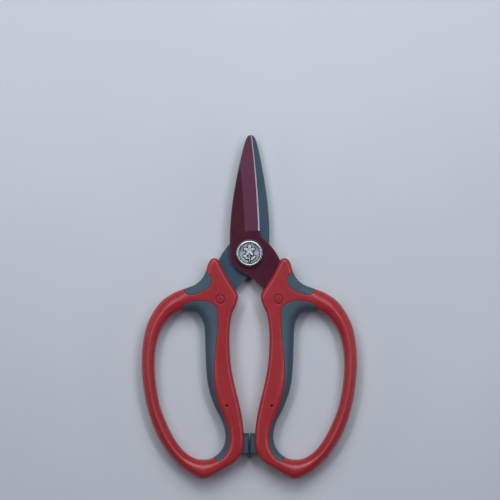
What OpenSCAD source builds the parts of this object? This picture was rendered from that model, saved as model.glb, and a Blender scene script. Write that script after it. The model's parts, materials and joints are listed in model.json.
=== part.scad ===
// Floral snips: two crossed steel blades on one pivot bolt, with long finger loops
// moulded over their tangs.
//
// Everything is drawn about the pivot, with +Y towards the tips, the front face towards +Z
// and the blades' mating plane at height 0. place() then sets the snips down on the surface
// that they lie on, with the middle of their footprint at the origin.
// The right-hand side is drawn first. The left-hand side is its mirror image.

/* [Blades] */
// Thickness of each blade's plate
blade_t = 3; // [2.8:0.1:3.2]
// Gap between the two plates at the mating plane
blade_gap = 0.1; // [0.06:0.02:0.2]
// How far the lower blade is set over on its tang, in degrees, so that the tips meet
lower_set = 1.4; // [0:0.2:1.6]
// Width of the main bevel, from its grind line to the cutting edge
bevel_w = 7.7; // [7:0.1:8]
// Width of the honed strip along the cutting edge
hone_w = 0.75; // [0.5:0.05:1]
// Thickness at the foot of the main bevel, where the honed strip starts
bevel_foot = 0.55; // [0.45:0.05:0.7]
// Thickness left at the cutting edge
edge_t = 0.1; // [0.05:0.05:0.2]

/* [Pivot] */
// Radius of the bolt's round shank
shank_r = 3; // [2.8:0.1:3.2]
// Radial clearance of the shank in the upper blade's bore
shank_gap = 0.05; // [0.03:0.01:0.08]
// Radius of the bolt's head
head_r = 7; // [6.6:0.1:7.3]
// Height of the bolt's head
head_h = 2; // [1.8:0.1:2.4]
// Radius of the friction washer under the head
washer_r = 7.4; // [7.3:0.1:7.6]
// Thickness of the friction washer
washer_t = 0.4; // [0.3:0.1:0.5]
// Width across the nut's flats
nut_af = 8; // [7.5:0.5:8.5]
// Thickness of the nut
nut_t = 2.2; // [2:0.1:2.3]

/* [Handles] */
// Thickness of the flat-faced inner arm and horn
grip_t = 13; // [12.8:0.2:14]
// Thickness of the round outer arm of the finger loop
rod_t = 10.6; // [9.6:0.2:11.6]
// Radius of the grip's outer edges, seen from the front
edge_r = 1.8; // [1.4:0.1:1.9]
// Radius of the finger side of the loop, seen from the front
finger_r = 8; // [6:0.5:9]
// Thickness of the soft liner and shoulder pad over their rib
soft_t = 2.2; // [1.8:0.1:2.4]
// Thickness of the rib under the soft parts
rib_t = 7.2; // [6.8:0.2:7.6]
// Length of each bumper along the handle
bumper_l = 9; // [8.6:0.2:9.4]
// Thickness of each bumper
bumper_t = 8.4; // [8:0.2:9]

/* [Hidden] */

$fn = 48;
eps = 0.01;

// Colours
red = [0.72, 0.09, 0.10];
slate = [0.20, 0.27, 0.32];
maroon = [0.30, 0.09, 0.15];
blue_grey = [0.21, 0.30, 0.37];
bright = [0.80, 0.82, 0.84];
dark = [0.06, 0.06, 0.07];

// ---- Curves -------------------------------------------------------------------------

// A smooth curve's point between b and c, with their neighbours a and d
function between(a, b, c, d, t) =
    0.5 * (2 * b + (c - a) * t + (2 * a - 5 * b + 4 * c - d) * t * t
           + (3 * b - a - 3 * c + d) * t * t * t);

// A smooth closed curve through the points, n steps to each span
function closed_curve(p, n) =
    [for (i = [0:len(p) - 1], k = [0:n - 1])
        between(p[(i + len(p) - 1) % len(p)], p[i], p[(i + 1) % len(p)],
                p[(i + 2) % len(p)], k / n)];

// A smooth open curve through the points, ends included
function open_curve(p, n) =
    concat([for (i = [0:len(p) - 2], k = [0:n - 1])
        between(p[max(i - 1, 0)], p[i], p[i + 1], p[min(i + 2, len(p) - 1)], k / n)],
        [p[len(p) - 1]]);

function unit(v) = v / norm(v);
function blend(a, b, t) = a + (b - a) * t;

// The direction to the left of a closed line at its point i
function left_of(line, i) =
    let (n = len(line), d = line[(i + 1) % n] - line[(i + n - 1) % n]) unit([-d.y, d.x]);

// ---- The finger loop ----------------------------------------------------------------

// Sections across the loop, anticlockwise from the chin beside the blade: a point on the
// outer outline, its partner on the finger hole, and how round the section is, from 0 for
// the flat-faced grip to 1 for the outer arm.
loop_rows = [
    // inner arm
    [6.0, -21.8, 23.3, -39.6, 0],
    [6.9, -26.5, 23.2, -41.2, 0],
    [9.2, -32.0, 23.1, -43.6, 0],
    [10.3, -40.0, 23.0, -47.8, 0],
    [10.3, -49.5, 22.8, -54.2, 0],
    [9.5, -59.5, 22.4, -61.8, 0],
    [7.6, -69.0, 21.4, -69.5, 0],
    [5.3, -78.5, 18.6, -78.5, 0],
    [3.5, -88.0, 14.2, -87.5, 0],
    [2.9, -95.5, 12.5, -94.5, 0],
    [3.4, -102.0, 13.2, -99.8, 0],
    // heel
    [6.6, -107.8, 15.6, -103.8, 0.1],
    [12.0, -111.4, 18.4, -106.0, 0.2],
    [17.8, -115.0, 21.2, -107.2, 0.4],
    [23.5, -117.5, 24.6, -107.5, 0.6],
    [29.5, -115.5, 28.4, -106.8, 0.8],
    [36.5, -110.5, 33.0, -104.0, 1],
    [43.3, -102.8, 37.6, -98.8, 1],
    // outer arm
    [49.2, -92.3, 42.4, -90.2, 1],
    [53.4, -79.5, 46.6, -79.3, 1],
    [55.7, -65.0, 49.0, -65.3, 1],
    [55.9, -50.5, 49.0, -51.5, 1],
    [53.2, -36.8, 46.2, -40.5, 1],
    [46.8, -26.0, 41.0, -33.2, 1],
    // shoulder
    [39.5, -20.6, 37.0, -30.8, 0.8],
    [33.0, -18.1, 33.3, -29.8, 0.4],
    [28.0, -16.1, 30.7, -29.6, 0.1],
    [24.5, -12.9, 28.8, -30.0, 0],
    [22.5, -9.0, 27.4, -30.8, 0],
    // horn
    [21.4, -5.2, 26.3, -31.8, 0],
    [20.0, -3.1, 25.4, -32.9, 0],
    [18.2, -2.4, 24.7, -34.1, 0],
    [16.4, -3.3, 24.2, -35.3, 0],
    [14.6, -6.6, 23.8, -36.4, 0],
    [11.8, -12.0, 23.6, -37.4, 0],
    [8.4, -17.4, 23.4, -38.4, 0],
];
spans = 2;
stations = closed_curve(loop_rows, spans);
station_count = len(stations);
outer_line = [for (s = stations) [s[0], s[1]]];
hole_line = [for (s = stations) [s[2], s[3]]];

function width_at(i) = norm(outer_line[i] - hole_line[i]);
function roundness(i) = max(0, min(1, stations[i][4]));
function half_t(i) = blend(grip_t, rod_t, roundness(i)) / 2;

// A point on a rounded edge: a turns from 0 on the side wall to 90 on the face
function edge_point(p, inward, r, rise, h, a) =
    [p.x + inward.x * r * (1 - cos(a)), p.y + inward.y * r * (1 - cos(a)), h - rise * (1 - sin(a))];

edge_turns = [0, 30, 60, 90];
face_turns = [90, 60, 30, 0];
edge_rise = 1.9;
wall_half = 0.8;

function outer_edge(i, turns) =
    let (h = half_t(i), round = roundness(i),
         r = blend(edge_r, 0.45 * width_at(i), round),
         rise = blend(edge_rise, h - wall_half, round))
    [for (a = turns) edge_point(outer_line[i], left_of(outer_line, i), r, rise, h, a)];

function hole_edge(i, turns) =
    let (h = half_t(i), r = min(finger_r, 0.45 * width_at(i)))
    [for (a = turns) edge_point(hole_line[i], -left_of(hole_line, i), r, h - wall_half, h, a)];

function flipped(points) = [for (p = points) [p.x, p.y, -p.z]];

function section(i) = concat(
    outer_edge(i, edge_turns), hole_edge(i, face_turns),
    flipped(hole_edge(i, edge_turns)), flipped(outer_edge(i, face_turns)));

// The whole grip, hard and soft parts together, as one lofted ring
module grip_ring() {
    m = 4 * len(edge_turns);
    polyhedron(
        points = [for (i = [0:station_count - 1]) each section(i)],
        faces = [for (i = [0:station_count - 1], k = [0:m - 1])
            let (j = (i + 1) % station_count, l = (k + 1) % m)
            each [[i * m + k, i * m + l, j * m + l], [i * m + k, j * m + l, j * m + k]]]);
}

// ---- Soft parts ---------------------------------------------------------------------

// Where the liner meets the hard plastic on the faces, from the arch to the heel
liner_seam = [
    [35.8, -32.0], [35.3, -29.4], [34.3, -27.2], [31.6, -25.5], [27.0, -24.6], [22.2, -24.7],
    [18.6, -26.3], [16.7, -29.2], [16.4, -34.0], [16.6, -41.0], [17.5, -50.0], [18.3, -60.0],
    [17.8, -70.0], [15.9, -78.5], [12.6, -86.7], [10.2, -93.5], [10.7, -100.5], [13.2, -105.6],
    [16.2, -108.3]
];
// The liner's blunt lower end, then back through the finger hole
liner_return = [[19.6, -105.2], [25.0, -98.0], [33.0, -75.0], [34.0, -45.0], [34.6, -35.0]];

// Where the shoulder pad meets the hard plastic, from the horn to the arch
pad_seam = [
    [23.4, -8.0], [22.0, -10.0], [20.2, -11.6], [19.6, -13.8], [20.6, -17.0], [23.8, -19.4],
    [28.0, -21.1], [31.2, -21.5], [33.4, -20.0], [35.2, -17.0]
];
pad_return = [[33.0, -12.0], [26.0, -7.0]];

module slab(t) linear_extrude(height = t, center = true) children();

module rib() {
    slab(rib_t) offset(delta = -soft_t) difference() {
        polygon(outer_line);
        polygon(hole_line);
    }
}

module soft_zone(seam, return) {
    difference() {
        slab(grip_t + 2) polygon(concat(open_curve(seam, 4), return));
        rib();
    }
}

module liner_zone() soft_zone(liner_seam, liner_return);
module pad_zone() soft_zone(pad_seam, pad_return);

// ---- Blades -------------------------------------------------------------------------

// The cutting edge is a shallow arc from its heel, beside the pivot, to the tip
edge_heel = [5.3, 11.9];
edge_end = [1.2, 61.2];
edge_bulge = 0.6;
edge_chord = edge_end - edge_heel;
arc_r = (norm(edge_chord) * norm(edge_chord) / 4 + edge_bulge * edge_bulge) / (2 * edge_bulge);
arc_out = unit([edge_chord.y, -edge_chord.x]);
arc_centre = (edge_heel + edge_end) / 2 - arc_out * (arc_r - edge_bulge);
heel_angle = atan2(edge_heel.y - arc_centre.y, edge_heel.x - arc_centre.x);
end_angle = atan2(edge_end.y - arc_centre.y, edge_end.x - arc_centre.x);

cutting_edge = [for (k = [12:-1:0])
    arc_centre + arc_r * [cos(blend(heel_angle, end_angle, k / 12)),
                          sin(blend(heel_angle, end_angle, k / 12))]];

// From the edge's heel down the outside of the shoulder, and along the tang's outer side
tang_outer = [
    [5.3, 11.7], [5.5, 10.8], [5.9, 9.7], [6.8, 8.4], [8.1, 7.1], [10.3, 5.0], [13.6, 0.8],
    [16.0, -3.6], [17.8, -9.0], [18.4, -15.0], [17.8, -22.0], [16.5, -29.0], [16.1, -38.0],
    [16.3, -48.0], [16.2, -58.0], [15.2, -68.0], [13.8, -76.0]
];
tang_end = [[13.3, -81.0], [11.6, -84.0], [9.4, -83.0], [9.2, -79.0]];
// Back up the tang's inner side, round the pivot and up the spine to the tip
tang_inner = [
    [10.4, -72.0], [11.8, -62.0], [12.4, -50.0], [12.3, -41.0], [11.2, -33.0], [9.4, -27.0],
    [8.6, -22.0], [7.1, -18.4], [3.6, -15.0], [0.2, -11.9]
];
spine = [
    [-2.9, -10.4], [-5.7, -8.6], [-8.4, -5.6], [-9.9, -1.8], [-10.2, 4.0], [-10.1, 12.0],
    [-9.5, 20.5], [-8.3, 30.0], [-6.5, 40.0], [-4.4, 50.0], [-2.3, 58.0], [-1.2, 60.6],
    [-0.1, 61.6], [0.8, 61.6]
];

function turned(points, a) =
    [for (p = points) [p.x * cos(a) - p.y * sin(a), p.x * sin(a) + p.y * cos(a)]];

function blade_line(set) = concat(
    turned(cutting_edge, set),
    open_curve(concat(tang_outer, tang_end, tang_inner, turned(spine, set)), 3));

module blade_outline(set) polygon(blade_line(set));

// What the main bevel and the honed strip take off the front, as one turned ring about the
// arc's centre. The grinding starts a little below the edge's heel.
module bevel_cut(set) {
    top = blade_t;
    slope = (top - bevel_foot) / (bevel_w - hone_w);
    over = 1;
    lead = 0.1;
    start_angle = heel_angle - lead / arc_r * 180 / PI;
    rotate([0, 0, set]) translate(arc_centre) rotate([0, 0, start_angle])
        rotate_extrude(angle = (end_angle - heel_angle) * 1.3, $fn = 200)
            polygon([
                [arc_r - bevel_w - over / slope, top + over],
                [arc_r - hone_w, bevel_foot],
                [arc_r + over, edge_t - over * (bevel_foot - edge_t) / hone_w],
                [arc_r + over, top + over]
            ]);
}

pin_at = [15.1, -23.8];
pin_r = 1.5;
locating_at = [11.7, -79];
locating_r = 0.6;
neck_flats = 4.8;

// A blade with its flat back at height 0 and its bevel on the front
module plate(set) {
    difference() {
        linear_extrude(height = blade_t) blade_outline(set);
        bevel_cut(set);
        translate([pin_at.x, pin_at.y, -1]) cylinder(r = pin_r, h = blade_t + 2);
    }
}

// The bolt's neck, round with two flats, which keys it to the lower blade
module neck(r, flats, h) {
    intersection() {
        cylinder(r = r, h = h);
        translate([-flats / 2, -2 * r, 0]) cube([flats, 4 * r, h]);
    }
}

// ---- Heights ------------------------------------------------------------------------

upper_z = blade_gap / 2;
lower_z = -blade_gap / 2;
washer_z = upper_z + blade_t;
head_z = washer_z + washer_t;
spring_h = 0.75;
spring_z = lower_z - blade_t;
nut_z = spring_z - spring_h;
thread_r = 2.5;
thread_end = nut_z - nut_t - 0.25;

front_y = max([for (p = blade_line(0)) p.y]);
foot_y = min([for (p = outer_line) p.y]);

module place() translate([0, -(front_y + foot_y) / 2, grip_t / 2]) children();

// A right-hand part, or its mirror image on the left
module on_side(side) mirror([side < 0 ? 1 : 0, 0, 0]) children();

// ---- Nodes --------------------------------------------------------------------------

module upper_blade() {
    color(maroon) place() translate([0, 0, upper_z]) difference() {
        plate(0);
        translate([0, 0, -1]) cylinder(r = shank_r + shank_gap, h = blade_t + 2);
    }
}

module lower_blade() {
    color(blue_grey) place() rotate([0, 180, 0]) translate([0, 0, -lower_z]) difference() {
        plate(lower_set);
        translate([0, 0, -1])
            neck(shank_r + shank_gap, neck_flats + 2 * shank_gap, blade_t + 2);
    }
}

recess_r = 5.6;
recess_d = 0.7;

module pivot_bolt() {
    rim = 0.6;
    color(bright) place() {
        translate([0, 0, head_z]) rotate_extrude() polygon([
            [0, 0], [head_r, 0], [head_r, head_h - rim - 0.3], [head_r - rim, head_h],
            [recess_r, head_h], [recess_r, head_h - recess_d], [0, head_h - recess_d]
        ]);
        translate([0, 0, lower_z]) cylinder(r = shank_r, h = head_z - lower_z + eps);
        translate([0, 0, spring_z]) neck(shank_r, neck_flats, lower_z - spring_z + eps);
        translate([0, 0, thread_end + 0.4])
            cylinder(r = thread_r - 0.1, h = spring_z - thread_end - 0.4 + eps);
        translate([0, 0, thread_end]) cylinder(r1 = thread_r - 0.5, r2 = thread_r - 0.1, h = 0.4);
    }
}

// A stamped disc with a plain five-petalled flower in low relief
module pivot_medallion() {
    petal_r = 1.05;
    relief = 0.25;
    color(bright) place() translate([0, 0, head_z + head_h - recess_d]) {
        cylinder(r = recess_r - 0.02, h = recess_d - 0.2);
        for (a = [0:72:288])
            rotate([0, 0, 90 + a]) translate([1.9, 0, 0])
                cylinder(r = petal_r, h = recess_d - 0.2 + relief);
        cylinder(r = 0.6, h = recess_d - 0.2 + relief);
    }
}

module friction_washer() {
    color(dark) place() translate([0, 0, washer_z]) difference() {
        cylinder(r = washer_r, h = washer_t);
        translate([0, 0, -1]) cylinder(r = shank_r + shank_gap, h = washer_t + 2);
    }
}

// A coned spring washer that keeps the joint tight
module spring_washer() {
    t = 0.4;
    color(bright) place() translate([0, 0, nut_z]) rotate_extrude() polygon([
        [thread_r + 0.2, 0], [5.4, spring_h - t], [5.4, spring_h], [thread_r + 0.2, t]
    ]);
}

module pivot_nut() {
    corner_r = nut_af / sqrt(3);
    chamfer = 0.5;
    color(bright) place() translate([0, 0, nut_z - nut_t]) difference() {
        intersection() {
            cylinder(r = corner_r, h = nut_t, $fn = 6);
            rotate_extrude() polygon([
                [0, 0], [corner_r - chamfer, 0], [corner_r, chamfer * 0.6],
                [corner_r, nut_t], [0, nut_t]
            ]);
        }
        translate([0, 0, -1]) cylinder(r = thread_r - 0.08, h = nut_t + 2);
    }
}

plug_r = 2.4;
plug_t = 2;
groove = 0.3;
pin_z = -grip_t / 2 + 2;

module tang_pin_body() {
    translate([pin_at.x, pin_at.y, pin_z])
        cylinder(r = pin_r, h = grip_t / 2 - plug_t - pin_z);
}

module pin_plug_body() {
    translate([pin_at.x, pin_at.y, grip_t / 2 - plug_t]) {
        cylinder(r = plug_r, h = plug_t - groove);
        cylinder(r = plug_r - groove, h = plug_t);
    }
}

// The space for the plug, with the shallow groove that shows round it
module plug_space() {
    translate([pin_at.x, pin_at.y, grip_t / 2 - plug_t]) cylinder(r = plug_r, h = plug_t + 1);
}

bumper_y = -99.8;
bumper_face = 0.15;
bumper_root = 6.5;
bumper_corner = 0.8;
// The thinner foot that each bumper stands on shows above it
foot_t = 2.2;
foot_up = 1.6;

module bumper_body() {
    length = bumper_l - 2 * bumper_corner;
    translate([0, bumper_y, 0]) slab(bumper_t) {
        translate([bumper_face, -length / 2]) square([bumper_root - bumper_face, length]);
        translate([bumper_face + bumper_corner, -bumper_l / 2])
            square([bumper_root - bumper_face - bumper_corner, bumper_l]);
        for (s = [-1, 1])
            translate([bumper_face + bumper_corner, s * length / 2]) circle(r = bumper_corner);
    }
    translate([0, bumper_y, 0]) slab(foot_t)
        translate([2 * bumper_face, 0]) square([bumper_root - 2 * bumper_face, bumper_l / 2 + foot_up]);
}

// The tang's own space inside the handle: in front of the mating plane on the right-hand
// side, and behind it on the left
module tang_space(side) {
    translate([0, 0, side > 0 ? upper_z : lower_z - blade_t])
        linear_extrude(height = blade_t) blade_outline(side > 0 ? 0 : lower_set);
}

module handle(side) {
    color(red) place() on_side(side) difference() {
        grip_ring();
        liner_zone();
        pad_zone();
        tang_space(side);
        bumper_body();
        tang_pin_body();
        plug_space();
        // a moulding pin's hole, down to the front of the tang
        translate([locating_at.x, locating_at.y, side > 0 ? upper_z + blade_t : lower_z])
            cylinder(r = locating_r, h = grip_t);
    }
}

module soft_part(side) {
    color(slate) place() on_side(side) intersection() {
        grip_ring();
        children();
    }
}

module right_handle() handle(1);
module left_handle() handle(-1);
module right_loop_liner() soft_part(1) liner_zone();
module left_loop_liner() soft_part(-1) liner_zone();
module right_shoulder_pad() soft_part(1) pad_zone();
module left_shoulder_pad() soft_part(-1) pad_zone();
module right_bumper() color(slate) place() on_side(1) bumper_body();
module left_bumper() color(slate) place() on_side(-1) bumper_body();
module right_tang_pin() color(bright) place() on_side(1) tang_pin_body();
module left_tang_pin() color(bright) place() on_side(-1) tang_pin_body();
module right_pin_plug() color(red) place() on_side(1) pin_plug_body();
module left_pin_plug() color(red) place() on_side(-1) pin_plug_body();

upper_blade();
lower_blade();
pivot_bolt();
pivot_medallion();
friction_washer();
spring_washer();
pivot_nut();
right_handle();
left_handle();
right_loop_liner();
left_loop_liner();
right_shoulder_pad();
left_shoulder_pad();
right_bumper();
left_bumper();
right_tang_pin();
left_tang_pin();
right_pin_plug();
left_pin_plug();
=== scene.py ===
"""The looks of the floral snips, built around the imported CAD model."""
import json
import math

import bpy
import numpy as np
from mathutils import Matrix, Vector
from mathutils.geometry import delaunay_2d_cdt


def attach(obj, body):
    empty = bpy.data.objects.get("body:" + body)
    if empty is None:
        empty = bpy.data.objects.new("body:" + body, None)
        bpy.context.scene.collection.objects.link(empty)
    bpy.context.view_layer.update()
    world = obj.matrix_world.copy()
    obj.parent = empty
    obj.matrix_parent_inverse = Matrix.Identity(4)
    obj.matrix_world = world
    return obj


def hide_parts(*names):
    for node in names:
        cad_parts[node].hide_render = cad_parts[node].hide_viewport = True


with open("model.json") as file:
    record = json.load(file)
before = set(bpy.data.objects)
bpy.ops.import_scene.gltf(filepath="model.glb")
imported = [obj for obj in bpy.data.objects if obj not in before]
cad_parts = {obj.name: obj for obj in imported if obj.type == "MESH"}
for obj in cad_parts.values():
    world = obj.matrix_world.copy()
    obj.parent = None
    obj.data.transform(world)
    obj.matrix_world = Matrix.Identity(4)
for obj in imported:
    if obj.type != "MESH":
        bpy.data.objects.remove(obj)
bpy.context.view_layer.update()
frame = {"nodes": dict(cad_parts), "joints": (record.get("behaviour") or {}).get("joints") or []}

# Everything is drawn in millimetres about the pivot, as in the CAD source, and put in the
# frame by this offset, in metres.
PIVOT = np.array(frame["joints"][0]["pos_m"], float)
MM = 0.001

# Each handle's name, its body, and the sign of its X
SIDES = (("right", "upper_half", 1), ("left", "lower_half", -1))

# ---- Curves ---------------------------------------------------------------------------


def between(a, b, c, d, t):
    """The Catmull-Rom point at the share t of the way from b to c."""
    return 0.5 * (2 * b + (c - a) * t + (2 * a - 5 * b + 4 * c - d) * t**2
                  + (3 * b - a - 3 * c + d) * t**3)


def closed_curve(rows, n):
    p = np.array(rows, float)
    m = len(p)
    return np.array([between(p[i - 1], p[i], p[(i + 1) % m], p[(i + 2) % m], k / n)
                     for i in range(m) for k in range(n)])


def open_curve(rows, n):
    p = np.array(rows, float)
    m = len(p)
    pts = [between(p[max(i - 1, 0)], p[i], p[i + 1], p[min(i + 2, m - 1)], k / n)
           for i in range(m - 1) for k in range(n)]
    return np.array(pts + [p[-1]])


def respaced(line, step, closed):
    """The line's points, with any further columns, at an even spacing in plan."""
    pts = np.vstack([line, line[:1]]) if closed else line
    run = np.concatenate([[0], np.cumsum(np.linalg.norm(np.diff(pts[:, :2], axis=0), axis=1))])
    count = max(int(round(run[-1] / step)), 4)
    at = np.linspace(0, run[-1], count + 1)
    out = np.column_stack([np.interp(at, run, pts[:, k]) for k in range(pts.shape[1])])
    return out[:-1] if closed else out


def left_normals(line, closed=True):
    if closed:
        d = np.roll(line[:, :2], -1, 0) - np.roll(line[:, :2], 1, 0)
    else:
        d = np.gradient(line[:, :2], axis=0)
    d /= np.linalg.norm(d, axis=1)[:, None]
    return np.column_stack([-d[:, 1], d[:, 0]])


BATCH = 1500  # points at a time, to keep the tables of distances small


def nearest(points, line, closed=True):
    """(distance to the line, the line's further columns there) for each point."""
    a = line
    b = np.roll(line, -1, 0) if closed else line[1:]
    a = a if closed else a[:-1]
    ab = b[:, :2] - a[:, :2]
    ll = (ab**2).sum(1)
    dist = np.empty(len(points))
    vals = np.empty((len(points), line.shape[1] - 2))
    for s in range(0, len(points), BATCH):
        p = points[s:s + BATCH]
        ap = p[:, None, :] - a[None, :, :2]
        t = np.clip((ap * ab).sum(2) / ll, 0, 1)
        d2 = ((ap - t[:, :, None] * ab) ** 2).sum(2)
        j = d2.argmin(1)
        i = np.arange(len(p))
        dist[s:s + BATCH] = np.sqrt(d2[i, j])
        tt = t[i, j][:, None]
        vals[s:s + BATCH] = a[j, 2:] * (1 - tt) + b[j, 2:] * tt
    return dist, vals


def inside(points, polygon):
    """Whether each point lies in the closed polygon."""
    x, y = points[:, 0], points[:, 1]
    hit = np.zeros(len(points), bool)
    n = len(polygon)
    for i in range(n):
        x0, y0 = polygon[i]
        x1, y1 = polygon[(i + 1) % n]
        if y0 == y1:
            continue
        cross = (y0 > y) != (y1 > y)
        hit ^= cross & (x < (x1 - x0) * (y - y0) / (y1 - y0) + x0)
    return hit


def full_turn(steps):
    return np.linspace(0, 2 * math.pi, steps, endpoint=False)


def circle(centre, r, n):
    a = full_turn(n)
    return np.column_stack([centre[0] + r * np.cos(a), centre[1] + r * np.sin(a)])


ROW_SHARE = 0.866  # the distance between the rows of a grid of triangles, as a share of its step


def hex_grid(lo, hi, step):
    rows = []
    for j, y in enumerate(np.arange(lo[1], hi[1], step * ROW_SHARE)):
        x = np.arange(lo[0] + (j % 2) * step / 2, hi[0], step)
        rows.append(np.column_stack([x, np.full(len(x), y)]))
    return np.vstack(rows)


def plan_mesh(loops, lines, loose):
    """Triangles in plan that follow every closed loop and open line, as (points, triangles)."""
    verts, edges = [], []
    for pts, closed in [(p, True) for p in loops] + [(p, False) for p in lines]:
        base, n = len(verts), len(pts)
        verts += [Vector(p[:2]) for p in pts]
        edges += [(base + i, base + (i + 1) % n) for i in range(n if closed else n - 1)]
    verts += [Vector(p) for p in loose]
    out = delaunay_2d_cdt(verts, edges, [], 0, 1e-4)
    points = np.array([v[:] for v in out[0]])
    tris = np.array([f for f in out[2] if len(f) == 3])
    a, b, c = (points[tris[:, k]] for k in range(3))
    area = (b[:, 0] - a[:, 0]) * (c[:, 1] - a[:, 1]) - (b[:, 1] - a[:, 1]) * (c[:, 0] - a[:, 0])
    tris[area < 0] = tris[area < 0][:, ::-1]
    return points, tris


# ---- Solids from plan triangles -------------------------------------------------------


class Solid:
    """Gathers the vertices and faces of one piece."""

    def __init__(self):
        self.verts, self.index, self.faces, self.mats = [], {}, [], []

    def vert(self, x, y, z):
        key = (round(x, 5), round(y, 5), round(z, 5))
        if key not in self.index:
            self.index[key] = len(self.verts)
            self.verts.append(key)
        return self.index[key]

    def face(self, ids, mat):
        ids = [int(v) for k, v in enumerate(ids) if v != ids[k - 1]]
        if len(ids) >= 3:
            self.faces.append(ids)
            self.mats.append(mat)

    def band(self, one, two):
        """The faces between two closed rings of as many vertices."""
        for i in range(len(one)):
            j = (i + 1) % len(one)
            self.face([one[i], two[i], two[j], one[j]], 0)


def raise_half(solid, points, tris, kind, spans, sign):
    """One half of a solid, to the front for sign 1 and to the back for -1.

    kind gives each triangle's kind, or -1 where there is nothing. spans[kind] is
    (lowest heights, highest heights, material, the low side's material or None).
    """
    heights = [set() for _ in points]
    owner = {}
    for t, k in zip(tris, kind):
        if k < 0:
            continue
        lo, hi = spans[k][0], spans[k][1]
        for v in t:
            heights[v].add(round(lo[v], 5))
            heights[v].add(round(hi[v], 5))
    for i, (t, k) in enumerate(zip(tris, kind)):
        for j in range(3):
            owner[(t[j], t[(j + 1) % 3])] = i
        if k < 0:
            continue
        lo, hi, mat, floor = spans[k]
        top = [solid.vert(*points[v], sign * hi[v]) for v in t]
        solid.face(top if sign > 0 else top[::-1], mat)
        if floor is not None:
            low = [solid.vert(*points[v], sign * lo[v]) for v in t]
            solid.face(low[::-1] if sign > 0 else low, floor)

    def column(v, z0, z1):
        z0, z1 = round(z0, 5), round(z1, 5)
        mid = sorted(h for h in heights[v] if z0 < h < z1)
        return [z0] + mid + ([z1] if z1 > z0 else [])

    def wall(a, b, lo, hi, mat):
        ca, cb = column(a, lo[a], hi[a]), column(b, lo[b], hi[b])
        ids = [solid.vert(*points[a], sign * z) for z in ca[::-1]]
        ids += [solid.vert(*points[b], sign * z) for z in cb]
        solid.face(ids if sign > 0 else ids[::-1], mat)

    for (a, b), i in owner.items():
        k = kind[i]
        if k < 0:
            continue
        j = owner.get((b, a))
        other = kind[j] if j is not None else -1
        if other == k:
            continue
        lo, hi, mat, _ = spans[k]
        if other < 0:
            wall(a, b, lo, hi, mat)
            continue
        olo, ohi = spans[other][0], spans[other][1]
        if hi[a] + hi[b] > ohi[a] + ohi[b]:
            wall(a, b, np.maximum(lo, ohi), hi, mat)
        if lo[a] + lo[b] < olo[a] + olo[b]:
            wall(a, b, lo, np.minimum(hi, olo), mat)


def two_halves(points, tris, front, back, spans):
    """A solid that lies on both sides of height 0, from the kinds of its front and its back."""
    solid = Solid()
    raise_half(solid, points, tris, front, spans, 1)
    raise_half(solid, points, tris, back, spans, -1)
    return solid


def add_object(name, data):
    obj = bpy.data.objects.new(name, data)
    bpy.context.scene.collection.objects.link(obj)
    return obj


def mark_material_lines(mesh):
    """Makes an edge sharp where two materials meet."""
    first, sharp = {}, set()
    for poly in mesh.polygons:
        for k in poly.edge_keys:
            if first.setdefault(k, poly.material_index) != poly.material_index:
                sharp.add(k)
    for e in mesh.edges:
        if e.key in sharp:
            e.use_edge_sharp = True


def build(name, solid, mats, body, nodes, angle, scale=(1, 1, 1), shift=0.0, fields=None):
    """Makes the gathered solid into a piece that stands for nodes and rides on body.

    Edges sharper than angle, in degrees, stay sharp. scale mirrors the piece or turns it over,
    and shift moves it along Z. fields gives each point attribute from the drawn vertices.
    """
    plan = np.array(solid.verts, float)
    v = plan * np.array(scale) + np.array((0, 0, shift))
    faces = solid.faces
    if np.prod(scale) < 0:
        faces = [f[::-1] for f in faces]
    mesh = bpy.data.meshes.new(name)
    mesh.from_pydata((v * MM + PIVOT).tolist(), [], faces)
    mesh.polygons.foreach_set("material_index", solid.mats)
    mesh.update()
    mesh.validate()
    mesh.polygons.foreach_set("use_smooth", [True] * len(mesh.polygons))
    mesh.set_sharp_from_angle(angle=math.radians(angle))
    if len(mats) > 1:
        mark_material_lines(mesh)
    for key, fn in (fields or {}).items():
        attr = mesh.attributes.new(key, "FLOAT", "POINT")
        attr.data.foreach_set("value", fn(plan).astype(np.float32))
    for m in mats:
        mesh.materials.append(m)
    obj = add_object(name, mesh)
    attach(obj, body)
    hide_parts(*nodes)


def lathe(name, profile, mats, body, nodes, angle, centre=(0, 0), steps=128,
          scale=(1, 1, 1)):
    """A turned piece from (radius, height) points, from the top of its axis or bore down."""
    solid = Solid()
    rings = []
    for r, z in profile:
        r, z = np.broadcast_to(r, steps), np.broadcast_to(z, steps)
        rings.append([solid.vert(centre[0] + r[i] * math.cos(a),
                                 centre[1] + r[i] * math.sin(a), z[i])
                      for i, a in enumerate(full_turn(steps))])
    bored = np.max(profile[0][0]) > 0
    for one, two in zip(rings, rings[1:] + rings[:1] if bored else rings[1:]):
        solid.band(one, two)
    build(name, solid, mats, body, nodes, angle, scale)


# ---- Materials ------------------------------------------------------------------------


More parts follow.
